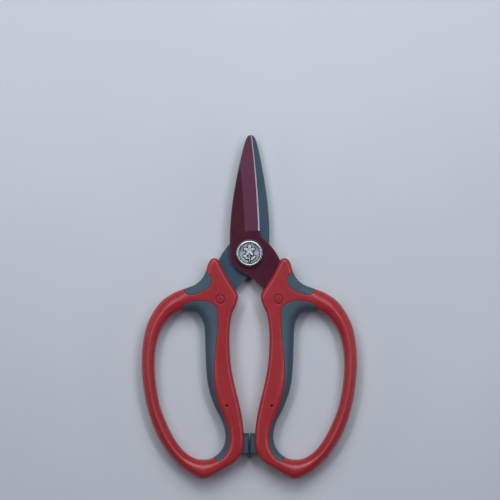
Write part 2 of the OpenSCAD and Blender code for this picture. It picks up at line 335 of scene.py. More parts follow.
class Nodes:
    """A material's node tree, with short ways to add to it."""

    def __init__(self, name):
        self.mat = bpy.data.materials.new(name)
        self.mat.use_nodes = True
        self.tree = self.mat.node_tree
        self.shader = self.tree.nodes["Principled BSDF"]
        self.where = self.tree.nodes.new("ShaderNodeTexCoord").outputs["Object"]

    def put(self, kind, inputs=None, **props):
        node = self.tree.nodes.new(kind)
        for key, value in props.items():
            setattr(node, key, value)
        for key, value in (inputs or {}).items():
            self.set(node.inputs[key], value)
        return node

    def set(self, socket, value):
        if isinstance(value, bpy.types.NodeSocket):
            self.tree.links.new(value, socket)
        elif socket.type == "RGBA" and len(value) == 3:
            socket.default_value = (*value, 1)
        else:
            socket.default_value = value

    def stretched(self, scale, turn=0.0):
        return self.put("ShaderNodeMapping", {"Vector": self.where, "Scale": scale,
                                              "Rotation": (0, 0, turn)}).outputs[0]

    def noise(self, scale, detail, rough=0.55, where=None):
        return self.put("ShaderNodeTexNoise", {"Vector": where or self.where, "Scale": scale,
                                               "Detail": detail, "Roughness": rough}).outputs[0]

    def span(self, value, a, b, c=0.0, d=1.0):
        """value, remapped from a..b to c..d."""
        return self.put("ShaderNodeMapRange", {"Value": value, "From Min": a, "From Max": b,
                                               "To Min": c, "To Max": d}).outputs[0]

    def mix(self, share, a, b):
        node = self.put("ShaderNodeMix", data_type="RGBA")
        self.set(node.inputs[0], share)
        self.set(node.inputs[6], a)
        self.set(node.inputs[7], b)
        return node.outputs[2]

    def math(self, op, a, b):
        return self.put("ShaderNodeMath", {0: a, 1: b}, operation=op).outputs[0]

    def bump(self, height, depth, strength, under=None):
        inputs = {"Height": height, "Distance": depth, "Strength": strength}
        if under is not None:
            inputs["Normal"] = under
        return self.put("ShaderNodeBump", inputs).outputs[0]

    def attribute(self, name):
        return self.put("ShaderNodeAttribute", attribute_name=name).outputs["Fac"]

    def finish(self, **sockets):
        for key, value in sockets.items():
            self.set(self.shader.inputs[key.replace("_", " ")], value)
        return self.mat


def moulded_plastic(name, colour, edge, dark):
    """Satin moulded plastic: a fine spark-eroded grain, faint flow marks and rubbed edges."""
    n = Nodes(name)
    flow = n.noise(55, 4, where=n.stretched((1, 0.35, 1)))
    cloud = n.span(flow, 0.3, 0.7)
    base = n.mix(cloud, dark, colour)
    worn = n.math("MULTIPLY", n.attribute("edge"), n.span(n.noise(900, 4, 0.7), 0.35, 0.7))
    base = n.mix(n.math("MULTIPLY", worn, 0.3), base, edge)
    specks = n.span(n.noise(5200, 2), 0.66, 0.78, 0, 0.25)
    base = n.mix(specks, base, dark)
    grain = n.noise(3800, 2, 0.5)
    waves = n.noise(160, 2)
    rough = n.math("ADD", n.span(n.noise(420, 5, 0.65), 0.3, 0.7, 0.27, 0.37),
                   n.math("MULTIPLY", worn, -0.06))
    normal = n.bump(grain, 0.000007, 0.6, n.bump(waves, 0.00004, 0.4))
    return n.finish(Base_Color=base, Roughness=rough, Normal=normal, IOR=1.5)


def soft_rubber(name, colour, pale, dark):
    """Overmoulded elastomer: matt, finely grained and a little dusty."""
    n = Nodes(name)
    base = n.mix(n.span(n.noise(70, 4), 0.3, 0.7), dark, colour)
    dust = n.span(n.noise(1500, 5, 0.72), 0.5, 0.75, 0, 0.22)
    base = n.mix(dust, base, pale)
    base = n.mix(n.math("MULTIPLY", n.attribute("edge"), 0.25), base, pale)
    rough = n.span(n.noise(600, 4), 0.3, 0.7, 0.52, 0.68)
    normal = n.bump(n.noise(2900, 3, 0.6), 0.000028, 0.8, n.bump(n.noise(240, 2), 0.00004, 0.4))
    return n.finish(Base_Color=base, Roughness=rough, Normal=normal, IOR=1.46,
                    Sheen_Weight=0.05, Sheen_Roughness=0.5)


def blade_coating(name, colour, pale, dark, roughness=0.3, grind=None):
    """Satin coating on steel with fine orange peel, scored along the angle grind if given."""
    n = Nodes(name)
    base = n.mix(n.span(n.noise(90, 4), 0.3, 0.7), dark, colour)
    # paler along the rim: rubbed wear, and partly a painted highlight along the rounded edge
    rubbed = n.math("MULTIPLY", n.attribute("edge"), n.span(n.noise(1300, 4, 0.7), 0.3, 0.7))
    base = n.mix(n.math("MULTIPLY", rubbed, 0.6), base, pale)
    specks = n.span(n.noise(4200, 3, 0.6), 0.6, 0.78, 0, 0.15)
    base = n.mix(specks, base, pale)
    rough = n.span(n.noise(500, 5, 0.7), 0.3, 0.7, roughness - 0.05, roughness + 0.06)
    normal = n.bump(n.noise(2200, 2), 0.000012, 0.6)
    if grind is not None:
        scored = n.noise(2600, 4, 0.7, n.stretched((0.03, 1, 1), grind))
        base = n.mix(n.span(scored, 0.42, 0.62, 0, 0.35), base, pale)
        normal = n.bump(scored, 0.000012, 0.8, normal)
    return n.finish(Base_Color=base, Roughness=rough, Normal=normal, IOR=1.35)


def bare_steel(name, colour, roughness, turn=0.0, stretch=(0.03, 1, 1), scale=3000,
               depth=0.00001, tarnished_and_shaded=False):
    """Bare or plated steel with the fine marks of its finish, and darker where its mask gives
    tarnish and painted shade.
    """
    n = Nodes(name)
    lines = n.noise(scale, 4, 0.7, n.stretched(stretch, turn))
    smudge = n.noise(220, 4)
    dim = tuple(c * 0.8 for c in colour)
    base = n.mix(n.span(lines, 0.35, 0.65), dim, colour)
    rough = n.math("ADD", n.span(lines, 0.3, 0.7, roughness - 0.05, roughness + 0.08),
                   n.span(smudge, 0.4, 0.7, 0, 0.07))
    if tarnished_and_shaded:
        base = n.mix(n.attribute("tarnish_and_shade"), base, TARNISH_AND_SHADE_DARK)
    return n.finish(Base_Color=base, Roughness=rough, Metallic=1.0,
                    Normal=n.bump(lines, depth, 0.7))


def dull_nylon(name, colour, pale):
    n = Nodes(name)
    base = n.mix(n.span(n.noise(1400, 4, 0.7), 0.4, 0.8, 0, 0.5), colour, pale)
    rough = n.span(n.noise(700, 3), 0.3, 0.7, 0.42, 0.6)
    normal = n.bump(n.noise(2500, 3), 0.00002, 0.6)
    return n.finish(Base_Color=base, Roughness=rough, Normal=normal)


# Each material's colour comes first, and then its paler and darker tones.
RED_EDGE = (0.46, 0.06, 0.07)
# the dark of the tarnish in the relief's hollows, also used as painted shade towards the disc's
# rim
TARNISH_AND_SHADE_DARK = (0.018, 0.032, 0.042)
GRIND = math.radians(5)  # the way the ground faces' lines run
EVEN = (1, 1, 1)

red = moulded_plastic("satin_red_plastic", (0.40, 0.030, 0.039), RED_EDGE, (0.34, 0.018, 0.025))
plug_red = moulded_plastic("plug_red_plastic", (0.35, 0.020, 0.026), RED_EDGE,
                           (0.31, 0.017, 0.022))
slate = soft_rubber("slate_elastomer", (0.052, 0.097, 0.136), (0.13, 0.18, 0.22),
                    (0.040, 0.078, 0.112))
# a darker copy of the slate for the bumpers deep between the handles: painted shade
slate_painted_shade = soft_rubber("slate_elastomer_painted_shade", (0.036, 0.072, 0.100), (0.09, 0.13, 0.16),
                         (0.028, 0.056, 0.080))
maroon = blade_coating("maroon_coating", (0.072, 0.010, 0.028), (0.24, 0.12, 0.16),
                       (0.058, 0.008, 0.022))
maroon_ground = blade_coating("maroon_ground", (0.108, 0.024, 0.060), (0.16, 0.06, 0.11),
                              (0.094, 0.019, 0.050), 0.44, GRIND)
grey = blade_coating("slate_coating", (0.050, 0.097, 0.143), (0.16, 0.21, 0.26),
                     (0.040, 0.081, 0.121))
grey_ground = blade_coating("slate_ground", (0.085, 0.13, 0.18), (0.24, 0.29, 0.34),
                            (0.07, 0.11, 0.15), 0.4, -GRIND)
honed = bare_steel("honed_edge", (0.97, 0.96, 1.0), 0.44, GRIND)
plated = bare_steel("plated_steel", (0.52, 0.57, 0.61), 0.27, stretch=EVEN, scale=900,
                    depth=0.000002)
stamped = bare_steel("stamped_steel", (0.68, 0.77, 0.84), 0.30, stretch=EVEN, scale=1600,
                     depth=0.000004, tarnished_and_shaded=True)
# near-black washer colour, partly painted shade: it stands in for the contact shadow round the
# head
shade_black_nylon = dull_nylon("washer_nylon", (0.012, 0.012, 0.014), (0.04, 0.04, 0.045))

# ---- The handles' shape ---------------------------------------------------------------

GRIP_H, ROD_H = 6.5, 5.3  # half the thickness of the flat grip and of the round arm
EDGE_R, EDGE_RISE, WALL_HALF = 1.8, 1.9, 0.8  # the outer edge's rounding, and the wall below it
FINGER_R = 8.0  # how far the finger hole's rounding reaches
ARM_SHARE = 0.5  # how far an arm's rounding reaches, as a share of its width
RIDGE = 0.12  # how much of an arm's fall is straight, which leaves a soft ridge along its top
CROWN = 0.3  # how far the flat face falls from its middle to its edges
SOFT_T, RIB_H = 2.2, 3.6  # the soft parts' thickness, and half that of the rib they wrap
SOFT_COVER, SOFT_SINK = 0.3, 0.03  # the least cover on the rib, and how low the soft parts lie

LOOP_ROWS = [
    # an outer point, its partner on the finger hole, and how round the section is
    (6.0, -21.8, 23.3, -39.6, 0), (6.9, -26.5, 23.2, -41.2, 0), (9.2, -32.0, 23.1, -43.6, 0),
    (10.3, -40.0, 23.0, -47.8, 0), (10.3, -49.5, 22.8, -54.2, 0), (9.5, -59.5, 22.4, -61.8, 0),
    (7.6, -69.0, 21.4, -69.5, 0), (5.3, -78.5, 18.6, -78.5, 0), (3.5, -88.0, 14.2, -87.5, 0),
    (2.9, -95.5, 12.5, -94.5, 0), (3.4, -102.0, 13.2, -99.8, 0),
    (6.6, -107.8, 15.6, -103.8, 0.1), (12.0, -111.4, 18.4, -106.0, 0.2),
    (17.8, -115.0, 21.2, -107.2, 0.4), (23.5, -117.5, 24.6, -107.5, 0.6),
    (29.5, -115.5, 28.4, -106.8, 0.8), (36.5, -110.5, 33.0, -104.0, 1),
    (43.3, -102.8, 37.6, -98.8, 1), (49.2, -92.3, 42.4, -90.2, 1), (53.4, -79.5, 46.6, -79.3, 1),
    (55.7, -65.0, 49.0, -65.3, 1), (55.9, -50.5, 49.0, -51.5, 1), (53.2, -36.8, 46.2, -40.5, 1),
    (46.8, -26.0, 41.0, -33.2, 1), (39.5, -20.6, 37.0, -30.8, 0.8),
    (33.0, -18.1, 33.3, -29.8, 0.4), (28.0, -16.1, 30.7, -29.6, 0.1),
    (24.5, -12.9, 28.8, -30.0, 0), (22.5, -9.0, 27.4, -30.8, 0), (21.4, -5.2, 26.3, -31.8, 0),
    (20.0, -3.1, 25.4, -32.9, 0), (18.2, -2.4, 24.7, -34.1, 0), (16.4, -3.3, 24.2, -35.3, 0),
    (14.6, -6.6, 23.8, -36.4, 0), (11.8, -12.0, 23.6, -37.4, 0), (8.4, -17.4, 23.4, -38.4, 0),
]
LINER_SEAM = [
    (35.8, -32.0), (35.3, -29.4), (34.3, -27.2), (31.6, -25.5), (27.0, -24.6), (22.2, -24.7),
    (18.6, -26.3), (16.7, -29.2), (16.4, -34.0), (16.6, -41.0), (17.5, -50.0), (18.3, -60.0),
    (17.8, -70.0), (15.9, -78.5), (12.6, -86.7), (10.2, -93.5), (10.7, -100.5), (13.2, -105.6),
    (16.2, -108.3),
]
LINER_END = (19.6, -105.2)
LINER_RETURN = [(25.0, -98.0), (33.0, -75.0), (34.0, -45.0), (34.6, -35.0)]
PAD_SEAM = [
    (23.4, -8.0), (22.0, -10.0), (20.2, -11.6), (19.6, -13.8), (20.6, -17.0), (23.8, -19.4),
    (28.0, -21.1), (31.2, -21.5), (33.4, -20.0), (35.2, -17.0),
]
PAD_RETURN = [(33.0, -12.0), (26.0, -7.0)]
PIN_AT, PLUG_R, PLUG_T, GROOVE = (15.1, -23.8), 2.4, 2.0, 0.42
PIT_Z = GRIP_H - PLUG_T
LOCATING_AT, LOCATING_R, LOCATING_Z = (11.7, -79.0), 0.6, 3.02
ROUND_HOLES = ((PIN_AT, PLUG_R, 96), (LOCATING_AT, LOCATING_R, 40))

LOOP_STEP, SEAM_STEP, GRID_STEP = 0.5, 0.3, 1.15  # the spacing of the mesh's points
GAP = 0.045  # half the joint between the hard and the soft parts
LIP, LIP_RINGS = 0.2, (0, 0.015, 0.06, 0.13, 0.2)  # the rounding along that joint
HOLE_LIP, HOLE_RINGS = 0.15, (0, 0.02, 0.07, 0.15)  # the rounding round the plug and the hole


def loop_lines():
    """The outline and the finger hole, with (radius, rise, half thickness, ridge) per point."""
    rows = closed_curve(LOOP_ROWS, 16)
    round_ = np.clip(rows[:, 4], 0, 1)
    width = np.linalg.norm(rows[:, :2] - rows[:, 2:4], axis=1)
    h = GRIP_H + (ROD_H - GRIP_H) * round_
    r = EDGE_R + (ARM_SHARE * width - EDGE_R) * round_
    rise = EDGE_RISE + (h - WALL_HALF - EDGE_RISE) * round_
    hole_r = np.minimum(FINGER_R, ARM_SHARE * width)
    ridge = RIDGE * round_
    outer = np.column_stack([rows[:, :2], r, rise, h, ridge])
    hole = np.column_stack([rows[:, 2:4], hole_r, h - WALL_HALF, h, ridge])
    return respaced(outer, LOOP_STEP, True), respaced(hole, LOOP_STEP, True)


outer_line, hole_line = loop_lines()
outer_in = left_normals(outer_line)
hole_in = -left_normals(hole_line)


def fall(q, ridge=0):
    """How far a quarter-round has dropped at the share q of its radius from the edge.

    ridge is the share of it that falls in a straight line instead.
    """
    q = np.clip(q, 0, 1)
    return (1 - ridge) * (1 - np.sqrt(np.maximum(1 - (1 - q) ** 2, 0))) + ridge * (1 - q)


def grip_height(points):
    """The height of the grip's front surface over points in plan."""
    d_out, f_out = nearest(points, outer_line)
    d_in, f_in = nearest(points, hole_line)
    share = d_out / np.maximum(d_out + d_in, 1e-6)
    h = f_out[:, 2] * (1 - share) + f_in[:, 2] * share
    z = (h - f_out[:, 1] * fall(d_out / f_out[:, 0], f_out[:, 3])
         - f_in[:, 1] * fall(d_in / f_in[:, 0], f_in[:, 3]))
    z -= CROWN * (2 * share - 1) ** 2
    return np.maximum(z, WALL_HALF)


SEAM_CORNER = 0.9  # how far from the corner of a seam its rounding starts


def rounded_corner(line, corner, after, size):
    """The line up to near the corner, a small arc, and on to the point after it."""
    one = line[np.linalg.norm(line - corner, axis=1) > size]
    t = np.linspace(0, 1, 9)[:, None]
    a = one[-1]
    c = corner + (after - corner) / np.linalg.norm(after - corner) * size
    arc = (1 - t) ** 2 * a + 2 * t * (1 - t) * corner + t**2 * c
    return np.vstack([one, arc[1:], after])


def seam_line(rows, end=None):
    line = open_curve(rows, 14)
    if end is not None:
        line = rounded_corner(line, np.array(rows[-1]), np.array(end), SEAM_CORNER)
    return respaced(line, SEAM_STEP, False)


liner_seam = seam_line(LINER_SEAM, LINER_END)
pad_seam = seam_line(PAD_SEAM)


def zone(seam, back, shift):
    """The closed zone of a soft part, its seam moved to its left by shift."""
    side = left_normals(seam, closed=False)
    return np.vstack([seam + side * shift, np.array(back)])


def outward(seam, back):
    """1 if the seam's left side lies outside its zone, and -1 if its right side does."""
    ring = np.vstack([seam, np.array(back)])
    x, y = ring[:, 0], ring[:, 1]
    area = (x * np.roll(y, -1) - np.roll(x, -1) * y).sum()
    return -1 if area > 0 else 1


ZONES = [(liner_seam, LINER_RETURN), (pad_seam, PAD_RETURN)]


def handle_plan():
    """The plan triangles of one handle, and the outlines of the rib under its soft parts."""
    loops, lines = [], []
    for a in np.radians(np.linspace(0, 90, 10)):
        loops.append(outer_line[:, :2] + outer_in * (outer_line[:, 2:3] * (1 - math.cos(a))))
        loops.append(hole_line[:, :2] + hole_in * (hole_line[:, 2:3] * (1 - math.cos(a))))
    rib_outer = outer_line[:, :2] + outer_in * SOFT_T
    rib_hole = hole_line[:, :2] + hole_in * SOFT_T
    loops += [rib_outer, rib_hole]
    for seam, back in ZONES:
        side = left_normals(seam, closed=False) * outward(seam, back)
        for d in LIP_RINGS:
            lines.append(seam + side * (GAP + d))
            lines.append(seam - side * (GAP + d))
    for d in HOLE_RINGS:
        loops += [circle(at, r + d, steps) for at, r, steps in ROUND_HOLES]
    grid = hex_grid((0, -119), (58, 0), GRID_STEP)
    grid = grid[inside(grid, outer_line[:, :2]) & ~inside(grid, hole_line[:, :2])]
    # loose points keep clear of the lines, or the triangles beside them get thin
    d_out, f_out = nearest(grid, outer_line)
    d_in, f_in = nearest(grid, hole_line)
    far = (d_out > f_out[:, 0] + 0.45) & (d_in > f_in[:, 0] + 0.45)
    for seam, _ in ZONES:
        far &= nearest(grid, seam, closed=False)[0] > 0.7
    for at, r, _ in ROUND_HOLES:
        far &= np.abs(np.linalg.norm(grid - at, axis=1) - r) > 0.5
    points, tris = plan_mesh(loops, lines, grid[far])
    return points, tris, rib_outer, rib_hole


RED, RIB, SOFT_OVER, SOFT_EDGE, PIT, DOT = range(6)


def handle_shapes():
    """The plan triangles of one handle with the kinds and heights of its pieces."""
    points, tris, rib_outer, rib_hole = handle_plan()
    mid = points[tris].mean(1)
    ring = inside(mid, outer_line[:, :2]) & ~inside(mid, hole_line[:, :2])
    rib = inside(mid, rib_outer) & ~inside(mid, rib_hole)
    lip = np.zeros(len(points))
    red_kind = np.where(ring, RED, -1)
    soft_kinds = []
    for seam, back in ZONES:
        out = outward(seam, back)
        trench = inside(mid, zone(seam, back, out * GAP))
        soft = inside(mid, zone(seam, back, -out * GAP)) & ring
        red_kind[ring & trench] = np.where(rib[ring & trench], RIB, -1)
        soft_kinds.append(np.where(soft, np.where(rib, SOFT_OVER, SOFT_EDGE), -1))
        d = np.maximum(nearest(points, seam, closed=False)[0] - GAP, 0)
        lip += LIP * fall(d / LIP)
    for at, r, _ in ROUND_HOLES:
        d = np.linalg.norm(points - at, axis=1) - r
        lip += np.where(d >= -1e-4, HOLE_LIP * fall(np.maximum(d, 0) / HOLE_LIP), 0)
    front = red_kind.copy()
    for hole, (at, r, _) in zip((PIT, DOT), ROUND_HOLES):
        front[(np.linalg.norm(mid - at, axis=1) < r) & (front == RED)] = hole
    zero = np.zeros(len(points))
    surface = grip_height(points) - lip
    rib_top, soft_top = np.minimum(RIB_H, surface - SOFT_COVER), surface - SOFT_SINK
    spans = {
        RED: (zero, surface, 0, None),
        RIB: (zero, rib_top, 0, None),
        SOFT_OVER: (rib_top, soft_top, 0, 0),
        SOFT_EDGE: (zero, soft_top, 0, None),
        PIT: (zero, zero + PIT_Z, 0, None),
        DOT: (zero, zero + LOCATING_Z, 0, None),
    }
    return points, tris, red_kind, front, soft_kinds, spans


def rubbed(plan, line, middle, spread):
    """Wear along a rounded edge, its place and spread as shares of the edge's radius."""
    d, f = nearest(plan[:, :2], line)
    return np.exp(-((d - middle * f[:, 0]) / (spread * f[:, 0])) ** 2)


def grip_wear(plan):
    return rubbed(plan, outer_line, 0.45, 0.35) + 0.5 * rubbed(plan, hole_line, 0.5, 0.3)


def soft_wear(plan):
    return rubbed(plan, hole_line, 0.6, 0.2)


def stop_wear(plan):
    return np.full(len(plan), 0.2)


points, tris, back_kind, front_kind, soft_kinds, spans = handle_shapes()
grip = two_halves(points, tris, front_kind, back_kind, spans)
lining, rest = (two_halves(points, tris, kind, kind, spans) for kind in soft_kinds)
for side, body, sign in SIDES:
    build(f"{side}_grip", grip, [red], body, [f"{side}_handle"],
          35, (sign, 1, 1), fields={"edge": grip_wear})
    for piece, solid, node in (("finger_lining", lining, "loop_liner"),
                               ("shoulder_rest", rest, "shoulder_pad")):
        build(f"{side}_{piece}", solid, [slate], body, [f"{side}_{node}"],
              35, (sign, 1, 1), fields={"edge": soft_wear})

# ---- Plugs and bumpers ----------------------------------------------------------------

PLUG_TOP = float(grip_height(np.array([PIN_AT]))[0])
PLUG_FIT, PLUG_FLOOR = 0.03, 0.02  # the room round the plug and under it

for side, body, sign in SIDES:
    r = PLUG_R - GROOVE
    lathe(f"{side}_plug", [
        (0, PLUG_TOP - 0.02), (r - 0.5, PLUG_TOP - 0.02), (r - 0.18, PLUG_TOP - 0.03),
        (r - 0.06, PLUG_TOP - 0.08), (r, PLUG_TOP - 0.18), (r, PLUG_TOP - 0.65),
        (PLUG_R - PLUG_FIT, PLUG_TOP - 0.68), (PLUG_R - PLUG_FIT, PIT_Z + PLUG_FLOOR),
        (0, PIT_Z + PLUG_FLOOR)],
        [plug_red], body, [f"{side}_pin_plug"],
        35, PIN_AT, 96, (sign, 1, 1))

BUMPER_Y, BUMPER_L, BUMPER_H, BUMPER_ROOT = -99.8, 9.0, 4.2, 6.5
BUMPER_FACE, BUMPER_CORNER, BUMPER_EDGE, BUMPER_RISE = 0.15, 0.9, 0.75, 2.2
FOOT_FACE, FOOT_CORNER, FOOT_EDGE, FOOT_H, FOOT_UP = 0.12, 0.4, 0.25, 1.1, 1.6
ROOT_CORNER = 0.05


def rounded_box(x0, x1, y0, y1, r, inset):
    """A rectangle's outline, moved inwards by inset, with its corners rounded on the x0 side."""
    pts = []
    e = ROOT_CORNER
    for cx, cy, a0, rr in ((x0 + r, y0 + r, 180, r), (x1 - e, y0 + e, 270, e),
                           (x1 - e, y1 - e, 0, e), (x0 + r, y1 - r, 90, r)):
        to_corner = math.radians(a0 + 45)
        past = max(inset - rr, 0)
        cx -= past * np.sign(math.cos(to_corner))
        cy -= past * np.sign(math.sin(to_corner))
        k = max(rr - inset, 0.004)
        pts += [(cx + k * math.cos(a), cy + k * math.sin(a))
                for a in np.radians(np.linspace(a0, a0 + 90, 9))]
    return respaced(np.array(pts), 0.35, True)


def bumper():
    """A block with rounded edges on a thinner foot, which shows above it."""
    y0, y1 = BUMPER_Y - BUMPER_L / 2, BUMPER_Y + BUMPER_L / 2
    block = [rounded_box(BUMPER_FACE, BUMPER_ROOT, y0, y1, BUMPER_CORNER,
                         BUMPER_EDGE * (1 - math.cos(a)))
             for a in np.radians(np.linspace(0, 90, 7))]
    foot = [rounded_box(FOOT_FACE, BUMPER_ROOT - 0.01, BUMPER_Y, y1 + FOOT_UP, FOOT_CORNER, d)
            for d in (0, 0.08, FOOT_EDGE)]
    pts, tri = plan_mesh(block + foot, [], hex_grid((0.9, y0 + 0.8), (6, y1 - 0.8), 0.8))
    mid = pts[tri].mean(1)
    kind = np.where(inside(mid, block[0]), 0, np.where(inside(mid, foot[0]), 1, -1))
    zero = np.zeros(len(pts))
    block_top = BUMPER_H - BUMPER_RISE * fall(nearest(pts, block[0])[0] / BUMPER_EDGE)
    foot_top = FOOT_H - FOOT_EDGE * fall(nearest(pts, foot[0])[0] / FOOT_EDGE)
    spans = {0: (zero, block_top, 0, None), 1: (zero, foot_top, 0, None)}
    return two_halves(pts, tri, kind, kind, spans)


stop = bumper()
for side, body, sign in SIDES:
    build(f"{side}_stop", stop, [slate_painted_shade], body, [f"{side}_bumper"],
          50, (sign, 1, 1), fields={"edge": stop_wear})

# ---- Blades ---------------------------------------------------------------------------

BLADE_T, BLADE_GAP = 3.0, 0.1
LOWER_LEAN = math.radians(1.4)  # how far the lower blade is turned out from behind the upper
BEVEL_W, HONE_W, BEVEL_FOOT, EDGE_T = 7.7, 0.75, 0.55, 0.1
EDGE_HEEL, EDGE_END, EDGE_BULGE = np.array((5.3, 11.9)), np.array((1.2, 61.2)), 0.6
TANG = [
    (5.3, 11.7), (5.5, 10.8), (5.9, 9.7), (6.8, 8.4), (8.1, 7.1), (10.3, 5.0), (13.6, 0.8),
    (16.0, -3.6), (17.8, -9.0), (18.4, -15.0), (17.8, -22.0), (16.5, -29.0), (16.1, -38.0),
    (16.3, -48.0), (16.2, -58.0), (15.2, -68.0), (13.8, -76.0), (13.3, -81.0), (11.6, -84.0),
    (9.4, -83.0), (9.2, -79.0), (10.4, -72.0), (11.8, -62.0), (12.4, -50.0), (12.3, -41.0),
    (11.2, -33.0), (9.4, -27.0), (8.6, -22.0), (7.1, -18.4), (3.6, -15.0), (0.2, -11.9),
]
SPINE = [
    (-2.9, -10.4), (-5.7, -8.6), (-8.4, -5.6), (-9.9, -1.8), (-10.2, 4.0), (-10.1, 12.0),
    (-9.5, 20.5), (-8.3, 30.0), (-6.5, 40.0), (-4.4, 50.0), (-2.3, 58.0), (-1.2, 60.6),
    (-0.1, 61.6), (0.8, 61.6),
]
# The cutting edge is an arc, and the bevels follow it.
CHORD = EDGE_END - EDGE_HEEL
ARC_R = (CHORD @ CHORD / 4 + EDGE_BULGE**2) / (2 * EDGE_BULGE)
ARC_OUT = np.array((CHORD[1], -CHORD[0])) / math.hypot(*CHORD)
ARC_AT = (EDGE_HEEL + EDGE_END) / 2 - ARC_OUT * (ARC_R - EDGE_BULGE)
ARC_HEEL, ARC_END = (math.atan2(*(at - ARC_AT)[::-1]) for at in (EDGE_HEEL, EDGE_END))
ARC_RUN = (ARC_END - ARC_HEEL) * ARC_R
RIM, BACK_RIM = 0.42, 0.12  # the rounding of the front and the back edges
PLUNGE, LEAD = 0.3, 0.1  # how steeply the grinding starts, and how far before the heel
HONE_TAPER = 0.5  # the share of the honed edge's width that is lost by the tip
SHANK_HOLE, NECK_FLATS, PIN_R = 3.05, 4.9, 1.5
COATED, GROUND, HONED = range(3)


def turned(pts, a):
    pts = np.array(pts, float)
    c, s = math.cos(a), math.sin(a)
    return np.column_stack([pts[:, 0] * c - pts[:, 1] * s, pts[:, 0] * s + pts[:, 1] * c])


def arc_point(rho, s, lean):
    """A point by its distance from the grinding arc's centre and its run along the edge."""
    a = ARC_HEEL + np.asarray(s) / ARC_R
    rho = np.broadcast_to(rho, a.shape)
    pts = np.column_stack([ARC_AT[0] + rho * np.cos(a), ARC_AT[1] + rho * np.sin(a)])
    return turned(pts, lean)


def on_arc(pts, lean):
    """arc_point the other way round: each point's distance from the centre, and its run."""
    q = turned(pts, -lean) - ARC_AT
    return np.linalg.norm(q, axis=1), (np.arctan2(q[:, 1], q[:, 0]) - ARC_HEEL) * ARC_R


def hone_width(s):
    return HONE_W * (1 - HONE_TAPER * np.clip(s / ARC_RUN, 0, 1))


def blade_plan(lean, keyed):
    """A blade's plan triangles, the kind of each, and the blade's outline."""
    edge = arc_point(ARC_R, np.linspace(ARC_RUN, 0, 120), lean)
    rest = respaced(open_curve(np.vstack([TANG, turned(SPINE, lean)]), 10), 0.45, False)
    outline = np.vstack([edge, rest])
    inward = -left_normals(outline)
    rings = [outline + inward * d for d in (0, 0.03, 0.1, RIM)]
    along = np.linspace(-LEAD, ARC_RUN + 8, 140)
    lines = [arc_point(ARC_R - BEVEL_W, along, lean),
             arc_point(ARC_R - hone_width(along), along, lean)]
    across = np.linspace(ARC_R - BEVEL_W - 0.4, ARC_R + 0.5, 20)
    for s in (-LEAD, -LEAD + PLUNGE / 3, -LEAD + 2 * PLUNGE / 3, PLUNGE - LEAD):
        lines.append(arc_point(across, [s] * len(across), lean))
    if keyed:
        a = math.acos(NECK_FLATS / 2 / SHANK_HOLE)
        half = np.linspace(a, math.pi - a, 24)
        bore = np.array([(SHANK_HOLE * math.cos(t), SHANK_HOLE * math.sin(t))
                         for t in [*half, *(half + math.pi)]])
    else:
        bore = circle((0, 0), SHANK_HOLE, 80)
    pin = circle(PIN_AT, PIN_R, 40)
    grid = hex_grid((-11, -86), (20, 62), 1.3)
    grid = grid[inside(grid, outline)]
    far = nearest(grid, outline)[0] > 0.5
    for ring in (bore, pin):
        far &= nearest(grid, ring)[0] > 0.4
    for line in lines:
        far &= nearest(grid, line, closed=False)[0] > 0.3
    pts, tri = plan_mesh(rings + [bore, pin], lines, grid[far])
    mid = pts[tri].mean(1)
    rho, s = on_arc(mid, lean)
    ground = (s > -LEAD) & (rho > ARC_R - BEVEL_W)
    kind = np.where(ground, np.where(rho > ARC_R - hone_width(s), HONED, GROUND), COATED)
    solid = inside(mid, outline) & ~inside(mid, bore) & ~inside(mid, pin)
    return pts, tri, np.where(solid, kind, -1), outline


def blade_heights(pts, outline, lean):
    """The lowest and highest heights of a blade, its flat back at height 0."""
    rho, s = on_arc(pts, lean)
    d = nearest(pts, outline)[0]
    top = BLADE_T - RIM * fall(d / RIM)
    slope = (BLADE_T - BEVEL_FOOT) / (BEVEL_W - HONE_W)
    main = BLADE_T - slope * (rho - (ARC_R - BEVEL_W))
    w = hone_width(s)
    foot = BLADE_T - slope * (BEVEL_W - w)
    hone = foot - (foot - EDGE_T) / w * (rho - (ARC_R - w))
    ground = np.minimum(top, np.maximum(np.where(rho < ARC_R - w, main, hone), EDGE_T))
    share = np.clip((s + LEAD) / PLUNGE, 0, 1)
    share = share * share * (3 - 2 * share)
    high = top * (1 - share) + ground * share
    low = np.where(high < 1, 0, BACK_RIM * fall(d / BACK_RIM))
    return low, high


def blade(lean, keyed):
    """A blade's solid, and where it is rubbed and painted with a highlight: along its outline, and
    less on its back.
    """
    pts, tri, kind, outline = blade_plan(lean, keyed)
    low, high = blade_heights(pts, outline, lean)
    solid = Solid()
    spans = {k: (low, high, k, COATED) for k in (COATED, GROUND, HONED)}
    raise_half(solid, pts, tri, kind, spans, 1)

    def rubbed_rim_and_highlight(plan):
        # rubbed wear along the outline, made stronger as a painted highlight on the rim
        near = np.exp(-(nearest(plan[:, :2], outline)[0] / 0.35) ** 2)
        return near * np.where(plan[:, 2] > 0.05, 1.0, 0.5)

    return solid, {"edge": rubbed_rim_and_highlight}


solid, fields = blade(0, False)
build("front_blade", solid, [maroon, maroon_ground, honed], "upper_half",
      ["upper_blade"], 12, (1, 1, 1), BLADE_GAP / 2, fields)
solid, fields = blade(LOWER_LEAN, True)
build("rear_blade", solid, [grey, grey_ground, honed], "lower_half",
      ["lower_blade"], 12, (-1, 1, -1), -BLADE_GAP / 2, fields)

# ---- Pivot ----------------------------------------------------------------------------

HEAD_R, HEAD_Z, HEAD_TOP = 7.0, 3.45, 5.45
RECESS_R, RECESS_Z = 5.6, 4.75
SHANK_R, THREAD_R, BOLT_END = 3.0, 2.4, -6.25

